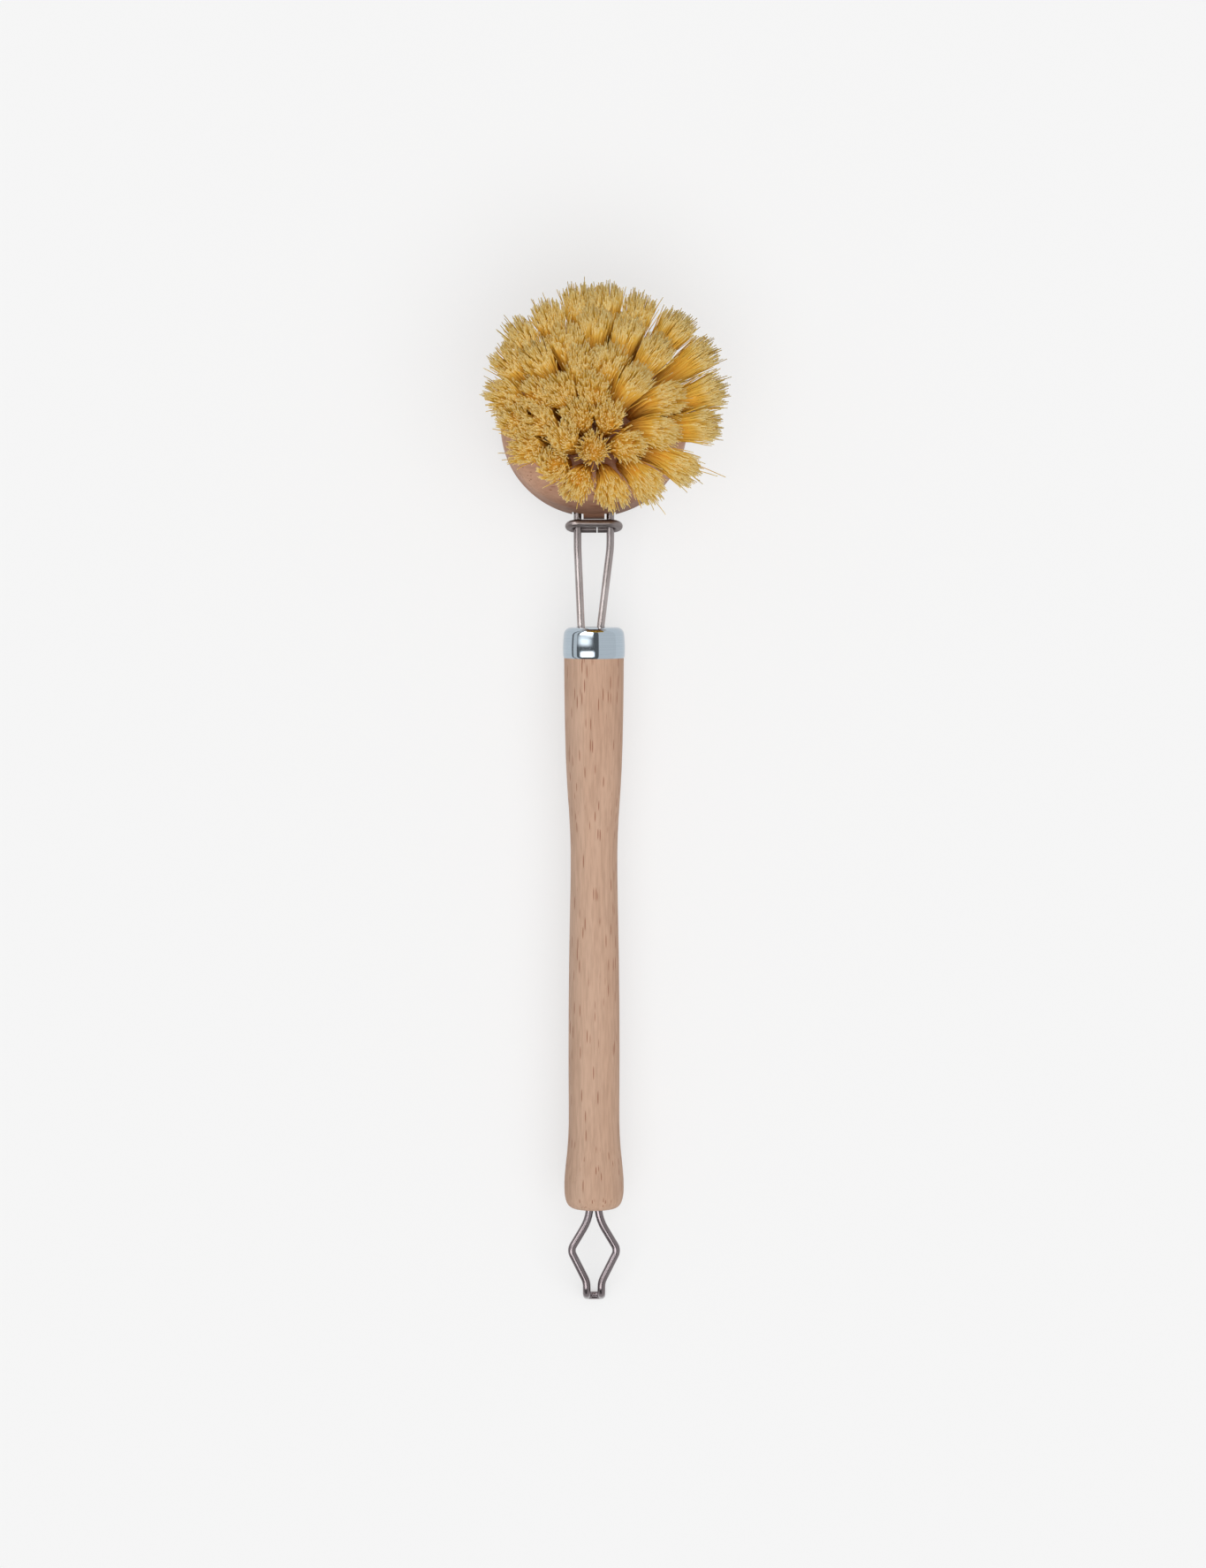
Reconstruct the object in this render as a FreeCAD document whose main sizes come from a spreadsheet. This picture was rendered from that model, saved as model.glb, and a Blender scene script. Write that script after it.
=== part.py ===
"""Dish brush: a beech handle, one bent wire that holds a tufted beech head, and a sliding locking ring.

Lengths are in millimetres and angles in degrees.  The brush lies on its back: the handle runs along Y with
the head at +Y, the bristles point up, and the head's far rim and the hook both touch z = 0.
"""
import FreeCAD, Part

import math
import os

import Sketcher
from FreeCAD import Placement, Rotation, Vector

# Every driving size, one cell each.  Places along the handle count from the butt of the handle.
SIZES = {
    # Handle
    "grip_length": 142.6,
    "swell_radius": 7.9,
    "waist_radius": 6.15,
    "butt_radius": 7.1,
    "butt_rounding": 2.5,
    "butt_taper": 21.8,
    "butt_run": 1.5,
    "spigot_radius": 7.4,
    "spigot_length": 7.3,
    "spigot_rounding": 1.6,
    "bore_radius": 2.45,
    "bore_chamfer": 0.9,
    "mouth_radius": 4.8,
    "mouth_depth": 14.0,
    # Ferrule
    "ferrule_radius": 8.0,
    "ferrule_wall": 0.5,
    "ferrule_height": 7.9,
    "ferrule_bow": 30.0,
    "ferrule_widest": 2.4,
    "ferrule_rounding": 2.0,
    "ferrule_lip": 0.25,
    "lip_rounding": 1.5,
    "ferrule_play": 0.05,
    "slot_play": 0.3,
    # Wire frame
    "wire_dia": 2.0,
    "strand_gap": 2.2,
    "foot_gap": 5.0,
    "foot_shift": -0.8,
    "foot_bend": 30.0,
    "prong_gap": 8.4,
    "prong_rise": 20.5,
    "prong_bend": 30.0,
    "hinge_reach": 32.5,
    "tip_bend": 1.4,
    "tip_end": 0.9,
    "loop_neck": 2.6,
    "loop_width": 12.2,
    "loop_drop": 11.0,
    "loop_length": 19.4,
    "neck_bend": 12.0,
    "loop_corner": 2.6,
    "leg_bend": 5.0,
    "leg_gap": 3.8,
    "hook_drop": 22.4,
    "hook_bend": 2.0,
    "hook_corner": 1.4,
    "hook_lean": 12.0,
    # Locking ring
    "ring_wire_dia": 2.0,
    "ring_play": 0.2,
    "ring_lift": 0.3,
    "ring_tilt": 18.0,
    "ring_drop": 6.6,
    "ring_seam": 0.25,
    "ring_seam_place": 0.8,
    # Head block
    "disc_radius": 24.0,
    "disc_back": 4.0,
    "disc_top": 11.5,
    "dome_radius": 80.0,
    "rim_rounding": 4.0,
    "back_rounding": 4.0,
    "hinge_inset": 4.2,
    "hinge_play": 0.05,
    "head_tilt": 15.0,
    "tongue_width": 5.4,
    "tongue_radius": 4.8,
    "notch_width": 2.9,
    "notch_height": 1.8,
    "notch_depth": 1.6,
    # Tufts and their anchors
    "tuft_pitch": 5.0,
    "tuft_splay": 20.0,
    "tuft_lean": 22.0,
    "tuft_lean_in": 3.0,
    "lean_way": -20.0,
    "tuft_length": 27.0,
    "tuft_collar": 1.0,
    "tuft_body": 9.0,
    "tuft_gap": 0.6,
    "hole_depth": 6.0,
    "hole_wall": 0.5,
    "tuft_play": 0.05,
    "anchor_height": 1.4,
    "anchor_thickness": 0.5,
    "anchor_play": 0.1,
    # How far every cutter runs past what it cuts
    "overrun": 2.0,
}

# Poles of the grip's outline, from above the butt's taper to the ferrule: share of the length between the
# butt's rounding and the ferrule, and share of the way from waist to swell.
GRIP_POLE_SHARES = (
    (0.03, 0.90),
    (0.05, 0.845),
    (0.078, 0.60),
    (0.13, 0.16),
    (0.232, 0.285),
    (0.42, 0.24),
    (0.558, -0.02),
    (0.6755, -0.16),
    (0.764, 0.50),
    (0.8625, 0.80),
    (1.0, 0.88),
)
GRIP_DEGREE = 3

# Tuft rings round the centre tuft, from the inside out; ring n holds n times TUFTS_PER_RING tufts.
TUFT_RINGS = ("inner", "middle", "outer")
TUFTS_PER_RING = 6

# Edges closer to a plane than this lie in it, and a swept wire's volume may differ by this share.
FLAT = 1e-4
SWEEP_TOLERANCE_SHARE = 0.002

doc = FreeCAD.newDocument("dish_brush")


def make_sheet():
    """The sheet of driving sizes, and the three cells that place the model on its origin."""
    table = doc.addObject("Spreadsheet::Sheet", "sizes")
    cells = dict(SIZES, origin_x=0.0, origin_y=0.0, origin_z=0.0)
    for row, (name, value) in enumerate(cells.items(), start=1):
        table.set(f"A{row}", name)
        table.set(f"B{row}", str(value))
        table.setAlias(f"B{row}", name)
    doc.recompute()
    return table


sheet = make_sheet()


def size(name):
    """The number in a cell of the sheet."""
    return float(sheet.get(name))


def bind(item, **links):
    """Bind properties of an object to expressions over the sheet's cells."""
    for prop, expression in links.items():
        item.setExpression(prop.replace("__", "."), expression)


# Places that several pieces share, as expressions over the sheet.
BUTT_HEIGHT = "(sizes.butt_rounding * (1 - sin(sizes.butt_taper * 1deg)))"
FERRULE_TOP = "(sizes.grip_length + sizes.ferrule_height)"
HINGE_Y = f"({FERRULE_TOP} + sizes.hinge_reach)"
DISC_OFFSET = "(sizes.disc_radius - sizes.hinge_inset)"
# Neighbouring holes lie a pitch apart at the face and draw together by this share of their depth.
HOLE_SPREAD = f"sin(sizes.tuft_splay / {len(TUFT_RINGS)} * 1deg)"
HOLE_RADIUS = f"((sizes.tuft_pitch - sizes.hole_depth * {HOLE_SPREAD} - sizes.hole_wall) / 2)"
# Neighbouring tufts draw apart by at least this share of their height above the face.
SPREAD = f"sin((sizes.tuft_splay - sizes.tuft_lean_in) / {len(TUFT_RINGS)} * 1deg)"

ferrule_top = size("grip_length") + size("ferrule_height")
hinge_y = ferrule_top + size("hinge_reach")
disc_offset = size("disc_radius") - size("hinge_inset")
tilt = math.radians(size("head_tilt"))
# The far back rim of the tilted disc hangs this far below the wire's plane, and the hook reaches as low.
back_rise = size("back_rounding") - size("disc_back")
head_drop = (
    (disc_offset + size("disc_radius") - size("back_rounding")) * math.sin(tilt)
    - back_rise * math.cos(tilt)
    + size("back_rounding")
)


def place_lying(item):
    """Lay a piece that was turned about its own Z along the handle's axis."""
    item.Placement = Placement(Vector(), Rotation(Vector(1, 0, 0), -90))
    bind(item, Placement__Base__x="sizes.origin_x", Placement__Base__y="sizes.origin_y")
    bind(item, Placement__Base__z="sizes.origin_z")


def place_bent(item):
    """Place a piece that is drawn in the handle's own axes."""
    bind(item, Placement__Base__x="sizes.origin_x", Placement__Base__y="sizes.origin_y")
    bind(item, Placement__Base__z="sizes.origin_z")


def place_on_head(item):
    """Place a piece that is drawn about the disc's axis, with z = 0 at the hinge."""
    item.Placement = Placement(Vector(), Rotation(Vector(1, 0, 0), -size("head_tilt")))
    bind(item, Placement__Base__x="sizes.origin_x")
    reach = f"{DISC_OFFSET} * cos(sizes.head_tilt * 1deg)"
    drop = f"{DISC_OFFSET} * sin(sizes.head_tilt * 1deg)"
    bind(item, Placement__Base__y=f"sizes.origin_y + {HINGE_Y} + {reach}")
    bind(item, Placement__Base__z=f"sizes.origin_z - {drop}")


def new_body(label):
    body = doc.addObject("PartDesign::Body", label)
    body.Label = label
    return body


def origin_feature(body, role):
    """One of a body's own origin planes or axes, found by its role."""
    return next(f for f in body.Origin.OriginFeatures if f.Role == role)


def sketch_on(body, name, role, offset=None):
    """A sketch on an origin plane of its body, raised along the plane's normal by an expression."""
    sketch = body.newObject("Sketcher::SketchObject", name)
    sketch.AttachmentSupport = (origin_feature(body, role), [""])
    sketch.MapMode = "FlatFace"
    if offset:
        bind(sketch, AttachmentOffset__Base__z=offset)
    return sketch


def worth(item, expression):
    """The number that an expression over the sheet gives."""
    return float(item.evalExpression(expression))


def dimension(sketch, expression, *constraint):
    """Add a dimension to a sketch and bind it to the sheet."""
    index = sketch.addConstraint(Sketcher.Constraint(*constraint, worth(sketch, expression)))
    sketch.setExpression(f"Constraints[{index}]", expression)


def circle_sketch(body, name, radius, role="XY_Plane", offset=None, along=None):
    """A sketch of one circle, on the sketch's origin or at a bound distance along its first axis."""
    sketch = sketch_on(body, name, role, offset)
    centre = Vector(worth(sketch, along) if along else 0, 0, 0)
    circle = sketch.addGeometry(Part.Circle(centre, Vector(0, 0, 1), worth(sketch, radius)))
    if along:
        dimension(sketch, along, "DistanceX", -1, 1, circle, 3)
        sketch.addConstraint(Sketcher.Constraint("PointOnObject", circle, 3, -1))
    else:
        sketch.addConstraint(Sketcher.Constraint("Coincident", circle, 3, -1, 1))
    dimension(sketch, radius, "Radius", circle)
    return sketch


def rectangle(sketch, left, right, bottom, top):
    """Add a rectangle whose four sides lie at bound distances from the sketch's origin."""
    near_x, far_x, low_y, high_y = (worth(sketch, side) for side in (left, right, bottom, top))
    corners = [
        Vector(near_x, low_y, 0),
        Vector(far_x, low_y, 0),
        Vector(far_x, high_y, 0),
        Vector(near_x, high_y, 0),
    ]
    sides = [
        sketch.addGeometry(Part.LineSegment(corners[i], corners[(i + 1) % 4]))
        for i in range(4)
    ]
    for i in range(4):
        sketch.addConstraint(Sketcher.Constraint("Coincident", sides[i], 2, sides[(i + 1) % 4], 1))
        direction = "Horizontal" if i % 2 == 0 else "Vertical"
        sketch.addConstraint(Sketcher.Constraint(direction, sides[i]))
    dimension(sketch, left, "DistanceX", -1, 1, sides[0], 1)
    dimension(sketch, right, "DistanceX", -1, 1, sides[0], 2)
    dimension(sketch, bottom, "DistanceY", -1, 1, sides[0], 1)
    dimension(sketch, top, "DistanceY", -1, 1, sides[2], 1)


def oblong(sketch, left, right, radius):
    """Add a slot with round ends, its end centres at two bound places on the sketch's first axis."""
    up, end_radius = Vector(0, 0, 1), worth(sketch, radius)
    right_circle = Part.Circle(Vector(worth(sketch, right), 0, 0), up, end_radius)
    left_circle = Part.Circle(Vector(worth(sketch, left), 0, 0), up, end_radius)
    right_end = Part.ArcOfCircle(right_circle, -math.pi / 2, math.pi / 2)
    left_end = Part.ArcOfCircle(left_circle, math.pi / 2, 3 * math.pi / 2)
    near, first, far, last = (
        sketch.addGeometry(Part.LineSegment(left_end.EndPoint, right_end.StartPoint)),
        sketch.addGeometry(right_end),
        sketch.addGeometry(Part.LineSegment(right_end.EndPoint, left_end.StartPoint)),
        sketch.addGeometry(left_end),
    )
    for one, other in ((near, first), (first, far), (far, last), (last, near)):
        sketch.addConstraint(Sketcher.Constraint("Tangent", one, 2, other, 1))
    for end, place in ((first, right), (last, left)):
        sketch.addConstraint(Sketcher.Constraint("PointOnObject", end, 3, -1))
        dimension(sketch, place, "DistanceX", -1, 1, end, 3)
        dimension(sketch, radius, "Radius", end)


def feature(body, kind, name, profile, **settings):
    """Add a sketch-based feature to a body and make it the body's tip."""
    item = body.newObject(f"PartDesign::{kind}", name)
    item.Profile = profile
    for key, value in settings.items():
        setattr(item, key, value)
    body.Tip = item
    return item


def must_cut(body, before):
    """Stop if the body's last cut took nothing away."""
    doc.recompute()
    if not body.Shape.Volume < before:
        raise RuntimeError(f"{body.Tip.Name} cut nothing from {body.Label}")
    return body.Shape.Volume


def edges_at_height(shape, height):
    """Names of the round edges that lie in the plane z = height."""
    names = []
    for number, edge in enumerate(shape.Edges, start=1):
        box = edge.BoundBox
        flat = abs(box.ZMin - height) < FLAT and abs(box.ZMax - height) < FLAT
        if flat and edge.Closed:
            names.append((edge.Length, f"Edge{number}"))
    return [name for _, name in sorted(names)]


def grip_poles():
    """(radius, place) of every pole of the grip's outline: two along the butt's taper, then the shares."""
    taper = "sizes.butt_taper * 1deg"
    poles = [
        ("sizes.butt_radius", BUTT_HEIGHT),
        (f"sizes.butt_radius + sizes.butt_run * sin({taper})", f"{BUTT_HEIGHT} + sizes.butt_run * cos({taper})"),
    ]
    run = f"(sizes.grip_length - {BUTT_HEIGHT})"
    bulge = "(sizes.swell_radius - sizes.waist_radius)"
    for length_share, swell_share in GRIP_POLE_SHARES:
        radius = f"sizes.waist_radius + ({swell_share}) * {bulge}"
        poles.append((radius, f"{BUTT_HEIGHT} + {length_share} * {run}"))
    return poles


def build_handle():
    """Turned grip, its spigot for the ferrule, the bore for the wire and the mouth where the strands spread."""
    body = new_body("handle")
    butt, taper, length = size("butt_rounding"), math.radians(size("butt_taper")), size("grip_length")
    spigot, top = size("spigot_radius"), length + size("spigot_length")
    bend = size("spigot_rounding")
    end_x = size("butt_radius") - butt * math.cos(taper)
    edge_circle = Part.Circle(Vector(end_x, butt, 0), Vector(0, 0, 1), butt)
    corner_circle = Part.Circle(Vector(spigot - bend, top - bend, 0), Vector(0, 0, 1), bend)

    outline = sketch_on(body, "grip_profile", "XZ_Plane")
    poles = [Vector(worth(outline, radius), worth(outline, place), 0) for radius, place in grip_poles()]
    curve = Part.BSplineCurve()
    curve.buildFromPoles(poles, False, GRIP_DEGREE)
    spline = outline.addGeometry(curve)
    outline.exposeInternalGeometry(spline)
    end, edge, step, side, corner, roof, axis = (
        outline.addGeometry(Part.LineSegment(Vector(0, 0, 0), Vector(end_x, 0, 0))),
        outline.addGeometry(Part.ArcOfCircle(edge_circle, -math.pi / 2, -taper)),
        outline.addGeometry(Part.LineSegment(poles[-1], Vector(spigot, length, 0))),
        outline.addGeometry(Part.LineSegment(Vector(spigot, length, 0), Vector(spigot, top - bend, 0))),
        outline.addGeometry(Part.ArcOfCircle(corner_circle, 0, math.pi / 2)),
        outline.addGeometry(Part.LineSegment(Vector(spigot - bend, top, 0), Vector(0, top, 0))),
        outline.addGeometry(Part.LineSegment(Vector(0, top, 0), Vector(0, 0, 0))),
    )
    for constraint in (
        ("Coincident", end, 1, -1, 1),
        ("Horizontal", end),
        ("Tangent", end, 2, edge, 1),
        ("Coincident", edge, 2, spline, 1),
        ("Coincident", spline, 2, step, 1),
        ("Horizontal", step),
        ("Coincident", step, 2, side, 1),
        ("Vertical", side),
        ("Tangent", side, 2, corner, 1),
        ("Tangent", corner, 2, roof, 1),
        ("Horizontal", roof),
        ("Coincident", roof, 2, axis, 1),
        ("Coincident", axis, 2, end, 1),
        ("Vertical", axis),
    ):
        outline.addConstraint(Sketcher.Constraint(*constraint))
    for number, (radius, place) in enumerate(grip_poles()):
        pole = spline + 1 + number
        dimension(outline, radius, "DistanceX", -1, 1, pole, 3)
        dimension(outline, place, "DistanceY", -1, 1, pole, 3)
    dimension(outline, "sizes.butt_rounding", "Radius", edge)
    dimension(outline, "sizes.spigot_radius", "DistanceX", -1, 1, side, 1)
    dimension(outline, "sizes.spigot_rounding", "Radius", corner)
    dimension(outline, "sizes.spigot_length", "DistanceY", side, 1, roof, 2)
    turned = feature(body, "Revolution", "turned_grip", outline)
    turned.ReferenceAxis = (origin_feature(body, "Z_Axis"), [""])
    doc.recompute()
    volume = body.Shape.Volume

    top = "sizes.grip_length + sizes.spigot_length"
    bore = circle_sketch(body, "bore_circle", "sizes.bore_radius", offset=top)
    feature(body, "Pocket", "bore", bore, Type="ThroughAll")
    volume = must_cut(body, volume)

    mouth = circle_sketch(body, "mouth_circle", "sizes.mouth_radius", offset=top)
    bind(feature(body, "Pocket", "mouth", mouth), Length="sizes.mouth_depth")
    volume = must_cut(body, volume)

    drilled = body.Tip
    countersink = body.newObject("PartDesign::Chamfer", "bore_countersink")
    countersink.Base = (drilled, edges_at_height(drilled.Shape, 0.0)[:1])
    bind(countersink, Size="sizes.bore_chamfer")
    body.Tip = countersink
    must_cut(body, volume)
    place_lying(body)
    return body


def build_ferrule():
    """Drawn cap of thin sheet: a turned-in lip, a bowed wall, a rounded shoulder and a slotted top."""
    body = new_body("ferrule")
    bottom, top, sheet_wall = size("grip_length"), ferrule_top, size("ferrule_wall")
    wide, bow, bend = size("ferrule_radius"), size("ferrule_bow"), size("ferrule_rounding")
    lip, hem = size("ferrule_lip"), size("lip_rounding")
    seat, fold = size("spigot_radius") + size("ferrule_play"), bend - sheet_wall
    # The wall bows about a far centre, and the lip and the shoulder touch it from inside.
    bow_centre = Vector(wide - bow, bottom + size("ferrule_widest"), 0)
    rise = top - bend - bow_centre.y
    shoulder_centre = bow_centre + Vector(math.sqrt((bow - bend) ** 2 - rise**2), rise, 0)
    hem_turn = math.acos(1 - lip / hem)
    hem_centre = Vector(wide - hem, bottom + hem * math.sin(hem_turn), 0)
    low_turn = math.atan2(hem_centre.y - bow_centre.y, hem_centre.x - bow_centre.x)
    high_turn = math.atan2(rise, shoulder_centre.x - bow_centre.x)
    fold_centre = Vector(seat - fold, top - bend, 0)
    ceiling_y = top - sheet_wall

    def arc(centre, radius, first, last):
        return Part.ArcOfCircle(Part.Circle(centre, Vector(0, 0, 1), radius), first, last)

    outline = sketch_on(body, "cap_profile", "XZ_Plane")
    lip_arc, wall, shoulder, roof, axis, ceiling, fold_arc, lining, floor = (
        outline.addGeometry(arc(hem_centre, hem, -hem_turn, low_turn)),
        outline.addGeometry(arc(bow_centre, bow, low_turn, high_turn)),
        outline.addGeometry(arc(shoulder_centre, bend, high_turn, math.pi / 2)),
        outline.addGeometry(Part.LineSegment(Vector(shoulder_centre.x, top, 0), Vector(0, top, 0))),
        outline.addGeometry(Part.LineSegment(Vector(0, top, 0), Vector(0, ceiling_y, 0))),
        outline.addGeometry(Part.LineSegment(Vector(0, ceiling_y, 0), Vector(fold_centre.x, ceiling_y, 0))),
        outline.addGeometry(arc(fold_centre, fold, 0, math.pi / 2)),
        outline.addGeometry(Part.LineSegment(Vector(seat, fold_centre.y, 0), Vector(seat, bottom, 0))),
        outline.addGeometry(Part.LineSegment(Vector(seat, bottom, 0), Vector(wide - lip, bottom, 0))),
    )
    for constraint in (
        ("Tangent", lip_arc, 2, wall, 1),
        ("Tangent", wall, 2, shoulder, 1),
        ("Tangent", shoulder, 2, roof, 1),
        ("Coincident", roof, 2, axis, 1),
        ("Coincident", axis, 2, ceiling, 1),
        ("Tangent", ceiling, 2, fold_arc, 2),
        ("Tangent", fold_arc, 1, lining, 1),
        ("Coincident", lining, 2, floor, 1),
        ("Coincident", floor, 2, lip_arc, 1),
        ("Horizontal", roof),
        ("Horizontal", ceiling),
        ("Horizontal", floor),
        ("Vertical", axis),
        ("Vertical", lining),
        ("PointOnObject", roof, 2, -2),
    ):
        outline.addConstraint(Sketcher.Constraint(*constraint))
    dimension(outline, "sizes.grip_length", "DistanceY", -1, 1, floor, 1)
    dimension(outline, FERRULE_TOP, "DistanceY", -1, 1, roof, 2)
    dimension(outline, "sizes.ferrule_wall", "DistanceY", axis, 2, axis, 1)
    dimension(outline, "sizes.ferrule_radius - sizes.ferrule_lip", "DistanceX", -1, 1, floor, 2)
    dimension(outline, "sizes.spigot_radius + sizes.ferrule_play", "DistanceX", -1, 1, lining, 1)
    dimension(outline, "sizes.ferrule_radius - sizes.ferrule_bow", "DistanceX", -1, 1, wall, 3)
    dimension(outline, "sizes.grip_length + sizes.ferrule_widest", "DistanceY", -1, 1, wall, 3)
    dimension(outline, "sizes.ferrule_bow", "Radius", wall)
    dimension(outline, "sizes.lip_rounding", "Radius", lip_arc)
    dimension(outline, "sizes.ferrule_rounding", "Radius", shoulder)
    dimension(outline, "sizes.ferrule_rounding - sizes.ferrule_wall", "Radius", fold_arc)
    turned = feature(body, "Revolution", "cap", outline)
    turned.ReferenceAxis = (origin_feature(body, "Z_Axis"), [""])
    doc.recompute()
    volume = body.Shape.Volume

    slot = sketch_on(body, "slot_outline", "XY_Plane", FERRULE_TOP)
    oblong(
        slot,
        "sizes.foot_shift - sizes.foot_gap / 2",
        "sizes.foot_shift + sizes.foot_gap / 2",
        "sizes.wire_dia / 2 + sizes.slot_play",
    )
    bind(feature(body, "Pocket", "slot", slot), Length="sizes.ferrule_wall + sizes.overrun")
    must_cut(body, volume)
    place_lying(body)
    return body


def round_section(name, radius, centre, turn):
    """A circle of a bound radius, square to a turned axis."""
    section = doc.addObject("Part::Circle", name)
    bind(section, Radius=radius)
    section.Placement = Placement(centre, turn)
    return section


def bent_path(corners):
    """Straight runs joined by tangent arcs: corners is a list of (point, bend radius)."""
    points = [point for point, _ in corners]
    edges = []
    start = points[0]
    for (before, corner, after), (_, radius) in zip(zip(points, points[1:], points[2:]), corners[1:-1]):
        toward = (before - corner).normalize()
        onward = (after - corner).normalize()
        half_turn = (math.pi - toward.getAngle(onward)) / 2
        setback = radius * math.tan(half_turn)
        arc_start = corner + toward * setback
        arc_end = corner + onward * setback
        inward = (toward + onward).normalize()
        middle = corner + inward * (radius / math.cos(half_turn) - radius)
        if start.distanceToPoint(arc_start) > FLAT:
            edges.append(Part.LineSegment(start, arc_start).toShape())
        edges.append(Part.Arc(arc_start, middle, arc_end).toShape())
        start = arc_end
    edges.append(Part.LineSegment(start, points[-1]).toShape())
    return Part.Wire(edges)


def bent_wire(label, corners, diameter):
    """A round wire of a bound diameter swept along a bent path."""
    path = doc.addObject("Part::Feature", f"{label}_path")
    path.Shape = bent_path(corners)
    first, second = corners[0][0], corners[1][0]
    heading = Rotation(Vector(0, 0, 1), second - first)
    section = round_section(f"{label}_section", f"{diameter} / 2", first, heading)
    wire = doc.addObject("Part::Sweep", label)
    wire.Label = label
    wire.Sections = [section]
    wire.Spine = (path, [f"Edge{i + 1}" for i in range(len(path.Shape.Edges))])
    wire.Solid = True
    doc.recompute()
    expected = math.pi * section.Radius.Value**2 * path.Shape.Length
    if abs(wire.Shape.Volume / expected - 1) > SWEEP_TOLERANCE_SHARE:
        raise RuntimeError(f"{label} is not its section times its length")
    place_bent(wire)
    return wire


def build_wire_frame():
    """One wire: tip, prong, handle, half of the loop, hook, and the same again on the other side."""
    lean = math.radians(size("hook_lean"))
    hook_way = Vector(0, -math.sin(lean), -math.cos(lean))
    hook_length = (head_drop - size("wire_dia") / 2) / math.cos(lean)
    leg_x = size("leg_gap") / 2
    hook_corner = Vector(leg_x, -size("hook_drop"), 0)
    mouth_floor = size("grip_length") + size("spigot_length") - size("mouth_depth")

    def strand(side):
        """Corners of one strand, from its tip in the head down to the bottom of the hook."""
        return [
            (Vector(side * size("tip_end"), hinge_y, 0), 0),
            (Vector(side * size("prong_gap") / 2, hinge_y, 0), size("tip_bend")),
            (Vector(side * size("prong_gap") / 2, ferrule_top + size("prong_rise"), 0), size("prong_bend")),
            (Vector(side * size("foot_gap") / 2 + size("foot_shift"), ferrule_top, 0), size("foot_bend")),
            (Vector(side * size("strand_gap") / 2, mouth_floor, 0), size("foot_bend")),
            (Vector(side * size("strand_gap") / 2, -size("loop_neck"), 0), size("neck_bend")),
            (Vector(side * size("loop_width") / 2, -size("loop_drop"), 0), size("loop_corner")),
            (Vector(side * leg_x, -size("loop_length"), 0), size("leg_bend")),
            (Vector(side * leg_x, hook_corner.y, 0), size("hook_bend")),
            (Vector(side * leg_x, hook_corner.y, 0) + hook_way * hook_length, size("hook_corner")),
        ]

    return bent_wire("wire_frame", strand(1) + strand(-1)[::-1], "sizes.wire_dia")


def build_locking_ring():
    """An oval bent from wire round both prongs, tilted as it sits when locked, its ends meeting at the back."""
    half_width = (size("prong_gap") + size("wire_dia") + size("ring_wire_dia")) / 2 + size("ring_play")
    strand_z = (size("wire_dia") + size("ring_wire_dia")) / 2 + size("ring_lift")
    ring_tilt = math.radians(size("ring_tilt"))
    half_height = strand_z / math.cos(ring_tilt)
    ring_y = hinge_y - size("ring_drop")

    def at(x, height):
        """A point of the tilted ring."""
        return Vector(x, ring_y + height * math.sin(ring_tilt), height * math.cos(ring_tilt))

    seam = size("ring_seam_place")
    half_seam = size("ring_seam") / 2
    corners = [
        (at(seam + half_seam, -half_height), 0),
        (at(half_width, -half_height), half_height),
        (at(half_width, half_height), half_height),
        (at(-half_width, half_height), half_height),
        (at(-half_width, -half_height), half_height),
        (at(seam - half_seam, -half_height), 0),
    ]
    return bent_wire("locking_ring", corners, "sizes.ring_wire_dia")


def dome_height(radius):
    """Height of the domed face at a distance from the disc's axis."""
    ball = size("dome_radius")
    return size("disc_top") - ball + math.sqrt(ball**2 - radius**2)


def tuft_seats():
    """(name, ring, angle round the disc) for every tuft."""
    seats = [("tuft_centre", 0, 0)]
    for ring, ring_name in enumerate(TUFT_RINGS, 1):
        count = ring * TUFTS_PER_RING
        for number in range(count):
            seats.append((f"tuft_{ring_name}_{number + 1:02d}", ring, number * 360 / count))
    return seats


def tuft_mouth(ring, angle):
    """Where a tuft leaves the face."""
    radius = ring * size("tuft_pitch")
    return Rotation(Vector(0, 0, 1), angle).multVec(Vector(radius, 0, dome_height(radius)))


def tuft_turn(ring, angle, lean=0):
    """Turn from the disc's axis to a tuft hole's axis, and further out by a lean."""
    return Rotation(Vector(0, 0, 1), angle) * Rotation(Vector(0, 1, 0), ring_splay(ring) + lean)


def tuft_lean(ring, angle):
    """How far a tuft's tips lean out past its hole's axis: out where use has pressed them, in on the far side."""
    facing = math.cos(math.radians(angle - size("lean_way")))
    most = size("tuft_lean") if facing > 0 else size("tuft_lean_in")
    return most * facing * ring / len(TUFT_RINGS)


def ring_splay(ring):
    """Angle between the disc's axis and the tuft holes of a ring."""
    return size("tuft_splay") * ring / len(TUFT_RINGS)


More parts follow.
